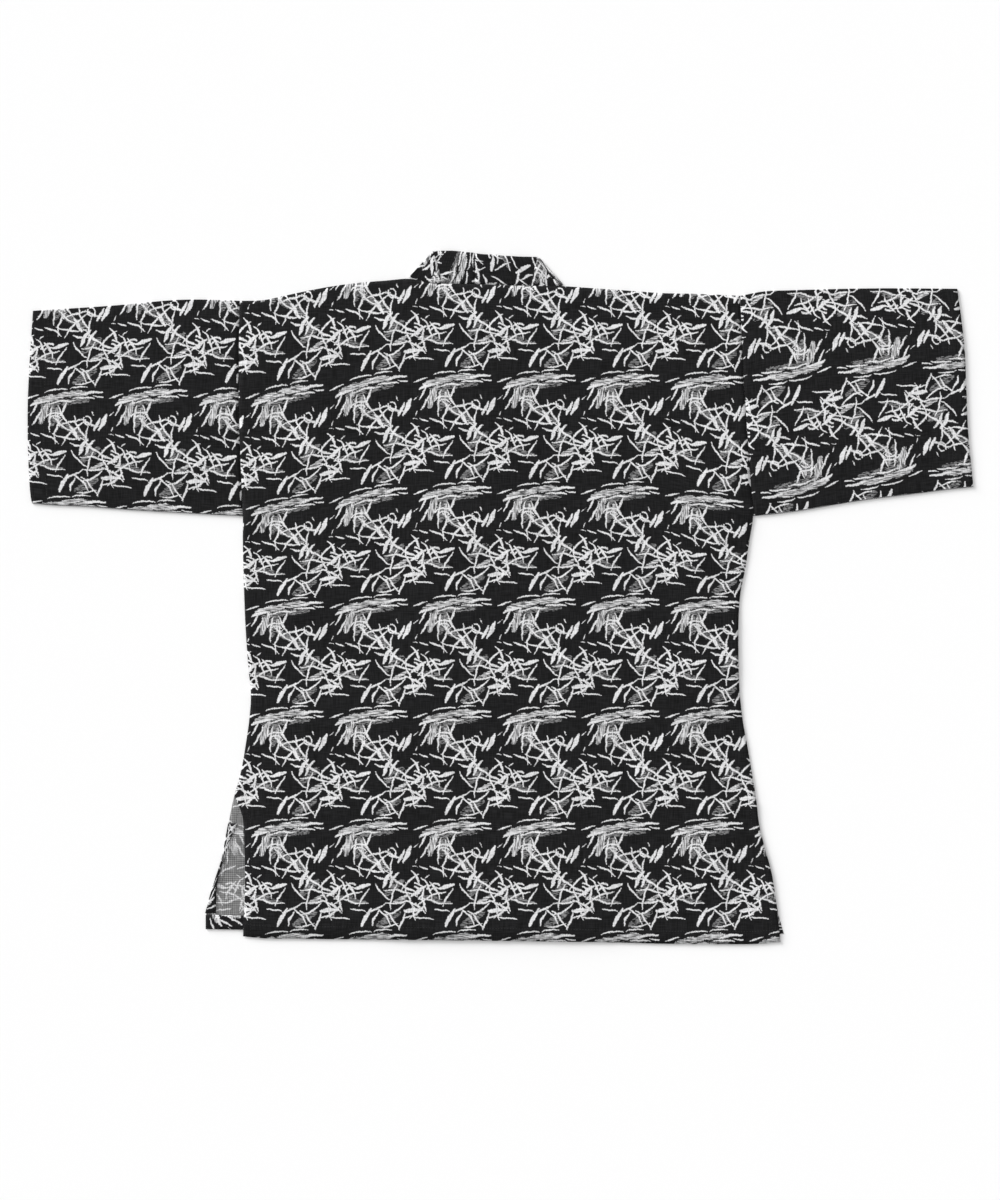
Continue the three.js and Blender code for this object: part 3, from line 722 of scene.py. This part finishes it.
def laidPanel(node, corners, cell, sink):
    # a panel on the top of its solid, sunk a little, with the facets smoothed out
    ring = outlineOf(node)
    sides = sidesOf(ring, corners, cell * mm)
    cloth, places = gridOf(len(sides[2]) - 1, len(sides[0]) - 1)
    tree = heightTree(node)
    for vert, (column, row) in places.items():
        vert.co = patchPoint(sides, column / (len(sides[2]) - 1), row / (len(sides[0]) - 1), column, row)
        vert.co.z = heightOf(tree, vert.co, 1) - sink * mm
    smoothFacets(cloth, cloth.verts)
    return cloth, ring


# what shows of a single cloth from above and from below, and then of a hem, whose cloth is turned up inside
cloths = [rightSide, wrongSide, rightSide, rightSide]
insideOut = [wrongSide, rightSide, rightSide, rightSide]
ofHem = 2    # the hem's place in these lists


def turnHem(cloth, hemReach, depth):
    for face in cloth.faces:
        if max(hemReach[vert] for vert in face.verts) < depth * mm:
            face.material_index = ofHem


topstitched = []    # a surface, a line on it, how far to the line's left it is sewn, and which way it faces

# ---- body: the back and the two fronts ----

body = {
    "cell": 4.2, "frontCell": 4.83, "wall": 0.7,
    "flat": (0.625, 0.79), "area": 0.434, "frontFlat": (0.445, 0.745),    # m, as cut
    "hemDepth": 16,
    "hemStitch": 14.5, "slitStitch": 8,
    "hemDrop": 3, "dropReach": 9, "lowest": 2,        # the back's hem falls past the fronts' hems
    # the rows of the print droop towards both armpits
    "droops": [{"starts": 160, "reach": 130, "height": 115, "spread": 95, "drop": 17},
               {"starts": -80, "reach": -215, "height": 170, "spread": 150, "drop": 22}],
    "relief": {"seamRidge": 0.22, "pucker": 0.32, "hemRidge": 0.22, "hemRipple": 0.35,
               "lie": 0.85, "fine": 0.15, "edgeDrop": 0.55},
    "flatRelief": {"seamRidge": 0.0, "pucker": 0.0, "hemRidge": 0.0, "hemRipple": 0.1,
                   "lie": 0.1, "fine": 0.05, "edgeDrop": 0.0},
    # x and y where it starts, x and y where it ends, height and half width, mm
    "creases": [
        (283, 80, 185, 180, 1.8, 13), (286, 60, 200, 118, -1.2, 11), (280, 20, 176, 60, 1.2, 14),
        (272, -95, 150, -60, 1.2, 14), (270, -60, 205, -30, -0.75, 10),
        (-290, 86, -215, 175, 1.35, 13), (-290, 60, -230, 110, -0.9, 11), (-282, -120, -190, -150, 1.2, 14),
        (-285, -100, -235, -95, -0.75, 9), (-70, 250, -105, -40, 0.75, 24), (120, 230, 95, -120, 0.75, 22),
        (255, -250, 235, -370, 1.05, 15), (-180, -230, -215, -360, 0.75, 16), (60, -250, 70, -385, 0.68, 18),
        (-60, -300, -50, -390, 0.6, 15), (-40, 352, -60, 250, 0.6, 16), (-100, 356, -150, 280, 0.75, 12),
        (70, 350, 130, 270, 0.75, 12),
    ],
}
corners = {    # of each panel: top left, top right, bottom right, bottom left, mm
    "back": [(-298.3, 338.9), (274.2, 344.6), (320.4, -394.8), (-294.6, -388.2)],
    "left_front": [(-298.3, 338.9), (-103.6, 364), (100, -383), (-337.4, -379.6)],
    "right_front": [(70.4, 355.6), (274.2, 344.6), (324.2, -385.5), (-120, -384)],
    "left_sleeve": [(-535.3, 327.5), (-298.6, 338.9), (-295.1, 92.7), (-536, 107.4)],
    "right_sleeve": [(274.5, 344.6), (522.7, 352.7), (541, 126), (289.3, 92.7)],
}
slitTops = {"left": (-304.6, -226.7), "right": (292.6, -232)}
neck = {"left": (-103.6, 364), "right": (70.4, 355.6)}


def onBack(vert):    # where a point of the back lay before it was cut
    fallen = 0.0
    for droop in body["droops"]:
        across = smooth((vert.co.x / mm - droop["starts"]) / droop["reach"])
        down = math.exp(-((vert.co.y / mm - droop["height"]) / droop["spread"]) ** 2)
        fallen += droop["drop"] * mm * across * down
    return vert.co.x, vert.co.y + fallen


def makeBack():
    cloth, ring = laidPanel("back", corners["back"], body["cell"], 0)
    layPrint(cloth, onBack)
    point = {name: Vector(place) * mm for name, place in
             zip(("topLeft", "topRight", "bottomRight", "bottomLeft"), corners["back"])}
    slitLeft, slitRight = (Vector(slitTops[side]) * mm for side in ("left", "right"))
    neckLeft, neckRight = (Vector(neck[side]) * mm for side in ("left", "right"))
    seams = [sideOf(ring, point["topLeft"], slitLeft), sideOf(ring, slitRight, point["topRight"]),
             sideOf(ring, point["topRight"], neckRight), sideOf(ring, neckRight, neckLeft),
             sideOf(ring, neckLeft, point["topLeft"])]
    free = [sideOf(ring, slitLeft, point["bottomLeft"]),
            sideOf(ring, point["bottomLeft"], point["bottomRight"]),
            sideOf(ring, point["bottomRight"], slitRight)]
    hemReach = relieve(cloth.verts, seams, free, body["hemDepth"], body["relief"], body["creases"])
    turnHem(cloth, hemReach, body["hemDepth"])
    hemTree = nearTree(free[1])
    for vert in cloth.verts:
        fromHem = hemTree.find((vert.co.x, vert.co.y, 0))[2]
        drop = body["hemDrop"] * mm * (1 - smooth(fromHem / (body["dropReach"] * mm)))
        vert.co.z = max(vert.co.z - drop, min(vert.co.z, body["lowest"] * mm))
    piece, surface = finishPiece(cloth, "back_panel", cloths, body["wall"], ["back"])
    for line, inset in zip(free, (body["slitStitch"], body["hemStitch"], body["slitStitch"])):
        topstitched.append((surface, line, inset, 1))


def makeFront(node, piece, row):
    cloth, ring = laidPanel(node, corners[node], body["frontCell"], row["sink"])
    layPrint(cloth, lambda vert: (-vert.co.x, vert.co.y))
    ends = [Vector(corner) for corner in row["free"]]
    free = [sideOf(ring, start * mm, end * mm) for start, end in zip(ends, ends[1:])]
    hemReach = relieve(cloth.verts, free, free, body["hemDepth"], body["flatRelief"], [])
    turnHem(cloth, hemReach, row["turned"])
    panel, surface = finishPiece(cloth, piece, insideOut, body["wall"], [node])
    for line, inset in zip(free, row["stitch"]):
        topstitched.append((surface, line, inset, -1))


# how far each front is sunk into its solid, the corners along its slit and hem, how much of its hem is turned
# up here (the left front's turned edges are pieces of their own), its area, what it lies on and its stitches
fronts = {
    "left_front": {"sink": 0.2,
                   "free": [slitTops["left"], corners["left_front"][3], corners["left_front"][2]],
                   "turned": 0, "area": 0.228, "restsOn": "table",
                   "stitch": [body["slitStitch"], body["hemStitch"]]},
    "right_front": {"sink": 0.3,
                    "free": [corners["right_front"][3], corners["right_front"][2], slitTops["right"]],
                    "turned": body["hemDepth"], "area": 0.236, "restsOn": "left_front_panel",
                    "stitch": [body["hemStitch"], body["slitStitch"]]},
}
for node, row in fronts.items():
    makeFront(node, node + "_panel", row)
makeBack()
print("body made")

# ---- sleeves ----

sleeves = {
    "cell": 4.2, "wall": 0.6,
    "foldRadius": 1.1, "foldSteps": 6,
    "floor": 0.03,                                    # mm from the table to the cloth
    "lowerLayer": 1, "weld": 0.02, "under": 0.07,     # the lower layer's top, and how far the cloth is sunk
    "printFrom": 31,
    "pullDown": 0.8, "pullTop": 35, "pullSeam": 22, "pullReach": 60,    # where the upper cuff is set back
    "cuffDepth": 20, "cuffStitch": 18.5,
    "relief": {"seamRidge": 0.2, "pucker": 0.32, "hemRidge": 0.2, "hemRipple": 0.3,
               "lie": 0.75, "fine": 0.15, "edgeDrop": 0.45},
}
# which way the cuff lies, how far the upper layer's cuff is set back near the top and near the seam, which
# way up the print runs, its size and area all round, and the creases, as on the body
sleevePieces = {
    "left_sleeve": {"away": -1, "setBack": (3.2, 3.4), "print": 1, "flat": (0.243, 0.492), "area": 0.113,
                    "creases": [(-318, 122, -480, 190, 0.8, 15), (-330, 318, -500, 270, 0.6, 15),
                                (-305, 180, -400, 215, 0.5, 13), (-420, 110, -500, 150, 0.5, 13)]},
    "right_sleeve": {"away": 1, "setBack": (0.6, 5.0), "print": -1, "flat": (0.252, 0.504), "area": 0.122,
                     "creases": [(312, 122, 480, 200, 0.9, 15), (300, 325, 470, 290, 0.6, 15),
                                 (292, 180, 400, 240, 0.5, 13), (430, 130, 510, 190, 0.5, 14)]},
}


def makeSleeve(node, row):
    ring = outlineOf(node, sleeves["lowerLayer"] * mm)
    sides = sidesOf(ring, corners[node], sleeves["cell"] * mm)
    left, right, above, below = sides
    columns, rows, fold = len(above) - 1, len(left) - 1, sleeves["foldSteps"]
    length = (lengthOf(above) + lengthOf(below)) / 2
    depth = (lengthOf(left) + lengthOf(right)) / 2
    radius = sleeves["foldRadius"] * mm
    floor = sleeves["floor"] * mm
    cloth, places = gridOf(columns, 2 * (rows + fold))
    tree = heightTree(node)
    cuffLine = left if row["away"] < 0 else right
    armholeLine = right if row["away"] < 0 else left
    shown = []

    def around(step):    # share of the way down the sleeve, and the turn of the fold: 90 above, -90 below
        step = 2 * (rows + fold) - step
        if step <= rows:
            return 1 - step / rows, 90
        if step <= rows + fold:
            return 0, 90 - 180 * (step - rows) / fold
        if step <= 2 * rows + fold:
            return (step - rows - fold) / rows, -90
        return 1, -90 + 180 * (step - 2 * rows - fold) / fold

    def onSleeve(vert):
        column, step = places[vert]
        down, turn = around(step)
        across, fall = column / columns * length, math.sin(math.radians(turn)) * down * depth
        return row["print"] * across, sleeves["printFrom"] * mm * row["away"] - row["print"] * fall

    layPrint(cloth, onSleeve)
    for vert, (column, step) in places.items():
        down, turn = around(step)
        lower = turn < 90
        fromCuff = column / columns if row["away"] < 0 else 1 - column / columns
        nearTop, nearSeam = row["setBack"]
        setBack = nearTop + (nearSeam - nearTop) * smooth(down / sleeves["pullDown"])
        edge = (smooth(down * depth / (sleeves["pullTop"] * mm))
                * smooth((1 - down) * depth / (sleeves["pullSeam"] * mm)))
        fade = 1 - smooth(fromCuff * length / (sleeves["pullReach"] * mm))
        pull = 0 if lower else setBack * mm * edge * fade
        share = column / columns - row["away"] * pull / length
        line = [patchPoint(sides, share, end, column, end * rows) for end in (0, 1)]
        inset = radius / (line[1] - line[0]).length
        place = inset + down * (1 - 2 * inset)
        spot = min(int(place * rows), rows - 1)
        here, there = (patchPoint(sides, share, at / rows, column, at) for at in (spot, spot + 1))
        vert.co = here.lerp(there, place * rows - spot)
        angle = math.radians(turn)
        out = (line[0] - line[1]).normalized() if down == 0 else (line[1] - line[0]).normalized()
        if -90 < turn < 90:
            vert.co += out * radius * math.cos(angle)
        vert.co.z = floor + radius * (1 + math.sin(angle))
        if turn == 90 and 0 < down < 1:
            vert.co.z = max(heightOf(tree, vert.co, 1) - sleeves["under"] * mm, vert.co.z)
            shown.append(vert)
    rim = [vert for vert in cloth.verts if vert.is_boundary]
    bmesh.ops.remove_doubles(cloth, verts=rim, dist=sleeves["weld"] * mm)
    shown = [vert for vert in shown if vert.is_valid]
    smoothFacets(cloth, shown)
    seams = [armholeLine, below]
    relieve(shown, seams, [cuffLine], sleeves["cuffDepth"], sleeves["relief"], row["creases"])
    cuffTree = nearTree(cuffLine)
    cuffReach = {vert: cuffTree.find((vert.co.x, vert.co.y, 0))[2] for vert in cloth.verts}
    turnHem(cloth, cuffReach, sleeves["cuffDepth"])
    piece, surface = finishPiece(cloth, node + "_cloth", cloths, sleeves["wall"], [node])
    for facing in (1, -1):
        topstitched.append((surface, cuffLine, -row["away"] * sleeves["cuffStitch"], facing))


for node, row in sleevePieces.items():
    makeSleeve(node, row)
print("sleeves made")

# ---- collar band ----

band = {
    "width": 38, "wall": 1.2, "solidWall": 1.4,
    "foldRadius": 1.1, "foldSteps": 8,
    "foldSewnIn": 1.2, "foldFreeIn": 1,     # how far the fold stands in from its CAD corners
    "endY": -200, "endSlant": 2, "centreX": -10, "lapHalf": 110,
    "seamGap": 0.3,                 # from the back's edge to the sewn edge
    "sunk": 0.1, "lapGap": 0.05,    # into the solid, and up from its underside where it laps
    "uneven": 0.9, "wave": 17,      # the free edge wanders this far, over this length
    "stitch": 1.6,
    "cell": 4,
    "flat": (0.05, 0.66), "area": 0.0243,    # m, as folded
}
# which side of the centre back it lies on, where on the print it was cut, and its sewn and free edges behind
# the neck
bandHalves = {
    "collar_left": {"side": 1, "print": (30, 10),
                    "neckline": [(-29.2, 357.8), (-62, 358.6), (-96, 359.8), (-103.6, 364)],
                    "crown": [(-29, 393.6), (-65.8, 396.6), (-76.2, 395.4)]},
    "collar_right": {"side": -1, "print": (60, 74),
                     "neckline": [(-29.2, 357.8), (22.3, 356.1), (62, 355.7), (70.4, 355.6)],
                     "crown": [(-29, 393.4), (10.9, 389.9), (42.2, 389.4)]},
}


def makeBandHalf(node, row):
    side, wall = row["side"], band["solidWall"] * mm
    neckPoint, foldTop = (Vector((*row[line][-1], 0)) * mm for line in ("neckline", "crown"))
    tree = heightTree(node)
    up = Vector((0, 0, 1))
    stations = []    # sewn edge, free edge and the way out of the cloth at each
    cell = band["cell"] * mm
    neckline = [Vector((*place, 0)) * mm for place in row["neckline"][:-1]]
    crown = [Vector((*place, 0)) * mm for place in row["crown"]]
    steps = round(lengthOf(neckline) / cell)
    for sewn, free in zip(evenly(neckline, steps), evenly(crown, steps)):
        sewn.y += band["seamGap"] * mm
        for point in (sewn, free):
            point.z = heightOf(tree, point, 1)
        free.y += band["uneven"] * mm * noise.noise(free / (band["wave"] * mm))
        stations.append((sewn, free, up))
    shown = len(stations)
    axis = (foldTop - neckPoint).normalized()
    outward = Vector((-side * axis.y, side * axis.x, 0))
    reach = band["foldRadius"] * mm + wall / 2
    foldSewn = neckPoint + Vector((0, band["foldSewnIn"] * mm, 0))
    foldFree = foldTop - Vector((0, band["foldFreeIn"] * mm, 0))
    for step in range(band["foldSteps"] + 1):
        turn = math.pi * (0.5 - step / band["foldSteps"])
        out = outward * math.cos(turn) + up * math.sin(turn)
        middle = up * reach + out * reach
        stations.append((foldSewn + middle, foldFree + middle, out))
    lapX = (band["centreX"] + side * band["lapHalf"]) * mm
    end = band["endY"] * mm
    sewnEnd = Vector((lapX - side * band["width"] * mm, end + band["endSlant"] * mm, 0))
    steps = round((neckPoint.y - end) / cell)
    for step in range(1, steps + 1):
        share = step / steps
        sewn = neckPoint.lerp(sewnEnd, share)
        free = foldFree.lerp(Vector((lapX, end, 0)), share)
        for point in (sewn, free):
            point.z = heightOf(tree, point, -1) + band["lapGap"] * mm
        stations.append((sewn, free, -up))
    across = round(band["width"] / band["cell"])
    cloth, places = gridOf(across, len(stations) - 1)
    walked = [0.0]
    for here, there in zip(stations, stations[1:]):
        walked.append(walked[-1] + ((there[0] + there[1]) / 2 - (here[0] + here[1]) / 2).length)
    layPrint(cloth, lambda vert: (
        side * places[vert][0] / across * band["width"] * mm + row["print"][0] * mm,
        row["print"][1] * mm - walked[places[vert][1]]))
    for vert, (column, step) in places.items():
        sewn, free, out = stations[step]
        vert.co = sewn.lerp(free, column / across)
        vert.co -= out * band["sunk"] * mm
    if side > 0:
        bmesh.ops.reverse_faces(cloth, faces=cloth.faces)
    piece, surface = finishPiece(cloth, node + "_band", cloths[:1] * 4, band["wall"], [node])
    sewnLine = [sewn for sewn, free, out in stations]
    topstitched.append((surface, sewnLine[:shown], -side * band["stitch"], 1))
    topstitched.append((surface, sewnLine[shown + band["foldSteps"] + 1:], side * band["stitch"], -1))


for node, row in bandHalves.items():
    makeBandHalf(node, row)
print("collar band made")

# ---- turned edges and ties ----

strips = {
    "wall": 0.7, "cell": 4,
    "sag": 0.1, "sagLength": 24,
    "curlSteps": 5, "curlOut": 0.45,    # round the front's edge, and how far past it
    "stitch": 1.6,
    "spare": (1.1, 1.05),    # how much wider and longer than it lies it may have been cut
}


def stripCorners(ring):    # its four sharpest turns, so that its left side is a long one
    def bend(at):
        return (ring[at] - ring[at - 1]).angle(ring[(at + 1) % len(ring)] - ring[at])

    at = sorted(sorted(range(len(ring)), key=bend, reverse=True)[:4])
    first, second = (lengthOf(sideOf(ring, ring[here].xy, ring[there].xy))
                     for here, there in zip(at, at[1:3]))
    if first < second:
        at = at[1:] + at[:1]
    return [ring[place].xy / mm for place in (at[0], at[3], at[2], at[1])]


def makeStrip(node, piece, turned):
    # a narrow strip on the top of its solid; a turned edge also curls down round the edge of its front
    ring = outlineOf(node)
    sides = sidesOf(ring, stripCorners(ring), strips["cell"] * mm)
    left, right = sides[0], sides[1]
    columns, rows = len(sides[2]) - 1, len(left) - 1
    width, length = lengthOf(sides[2]), lengthOf(left)
    middle = rows // 2
    outerLeft = left[middle].x + left[middle].y < right[middle].x + right[middle].y
    curl = strips["curlSteps"] if turned else 0
    cloth, places = gridOf(columns + curl, rows)
    tree = heightTree(node)
    radius = heightOf(tree, left[middle].lerp(right[middle], 0.5), 1) / 2

    def across(column):    # how many columns from the strip's left side, and how many past its side
        column -= curl if outerLeft else 0
        kept = min(max(column, 0), columns)
        return kept, abs(column - kept)

    def onStrip(vert):
        kept, past = across(places[vert][0])
        curled = past / max(curl, 1) * math.pi * radius * (-1 if outerLeft else 1)
        return kept / columns * width + curled, -places[vert][1] / rows * length

    layPrint(cloth, onStrip)
    for vert, (column, row) in places.items():
        kept, past = across(column)
        vert.co = patchPoint(sides, kept / columns, row / rows, kept, row)
        vert.co.z = heightOf(tree, vert.co, 1)
        vert.co.z -= strips["sag"] * mm * (1 + noise.noise(vert.co / (strips["sagLength"] * mm))) / 2
        if turned and kept == (0 if outerLeft else columns):
            out = (left[row] - right[row]).normalized() * (1 if outerLeft else -1)
            angle = math.pi * (0.5 - past / curl)
            vert.co += out.xyz * (radius * (math.cos(angle) - 1) + strips["curlOut"] * mm)
            vert.co.z = radius * (1 + math.sin(angle))
    area = sum(face.calc_area() for face in cloth.faces)
    strip, surface = finishPiece(cloth, piece, cloths[:1] * 4, strips["wall"], [node])
    inner, inset = (right, -1) if outerLeft else (left, 1)
    topstitched.append((surface, inner, inset * strips["stitch"], 1))
    if not turned:
        outer = left if outerLeft else right
        topstitched.append((surface, outer, -inset * strips["stitch"], 1))


makeStrip("left_front_hem", "left_front_hem_turning", True)
makeStrip("left_front_slit_turning", "left_front_slit_edge", True)
for tie, restsOn in {"outer_tie_front": "table", "outer_tie_side": "table",
                     "inner_tie_front": "left_front_panel", "inner_tie_side": "left_front_panel"}.items():
    makeStrip(tie, tie + "_strip", False)
print("turned edges and ties made")

# ---- sewing ----

stitches = {
    "length": 2.3, "pitch": 3.3, "thick": 0.45, "sunk": 0.1,    # mm
    "sides": 6, "rings": 4,
}


def sewAlong(sewing, stitch, surface, line, inset, facing):
    # a row of lockstitches, each sunk a little more than half in the cloth
    flat = [Vector((point.x, point.y, 0)) for point in line]
    points = evenly(flat, round(lengthOf(flat) / (stitches["pitch"] * mm)))
    size = Matrix.Diagonal((stitches["length"], stitches["thick"], stitches["thick"], 1 / mm)) * mm
    for here, there in zip(points, points[1:]):
        run = (there - here).normalized()
        middle = here.lerp(there, 0.5) + Vector((-run.y, run.x, 0)) * inset * mm
        eyelet = middle + Vector((0, 0, reading["from"] * mm * facing))
        spot, normal, *_ = surface.ray_cast(eyelet, Vector((0, 0, -facing)))
        if spot is None:
            continue
        run -= normal * run.dot(normal)
        spot.z -= facing * stitches["sunk"] * mm
        turn = run.to_track_quat("X", "Z").to_matrix().to_4x4()
        stitch.to_mesh(stitchMesh)
        stitchMesh.transform(Matrix.Translation(spot) @ turn @ size)
        sewing.from_mesh(stitchMesh)


stitch = bmesh.new()
bmesh.ops.create_uvsphere(stitch, u_segments=stitches["sides"], v_segments=stitches["rings"], radius=0.5)
stitchMesh = bpy.data.meshes.new("stitch")
sewing = bmesh.new()
for surface, line, inset, facing in topstitched:
    sewAlong(sewing, stitch, surface, line, inset, facing)
bpy.data.meshes.remove(stitchMesh)
stitch.free()
finishPiece(sewing, "topstitching", [threadMaterial], 0)
print("sewn")
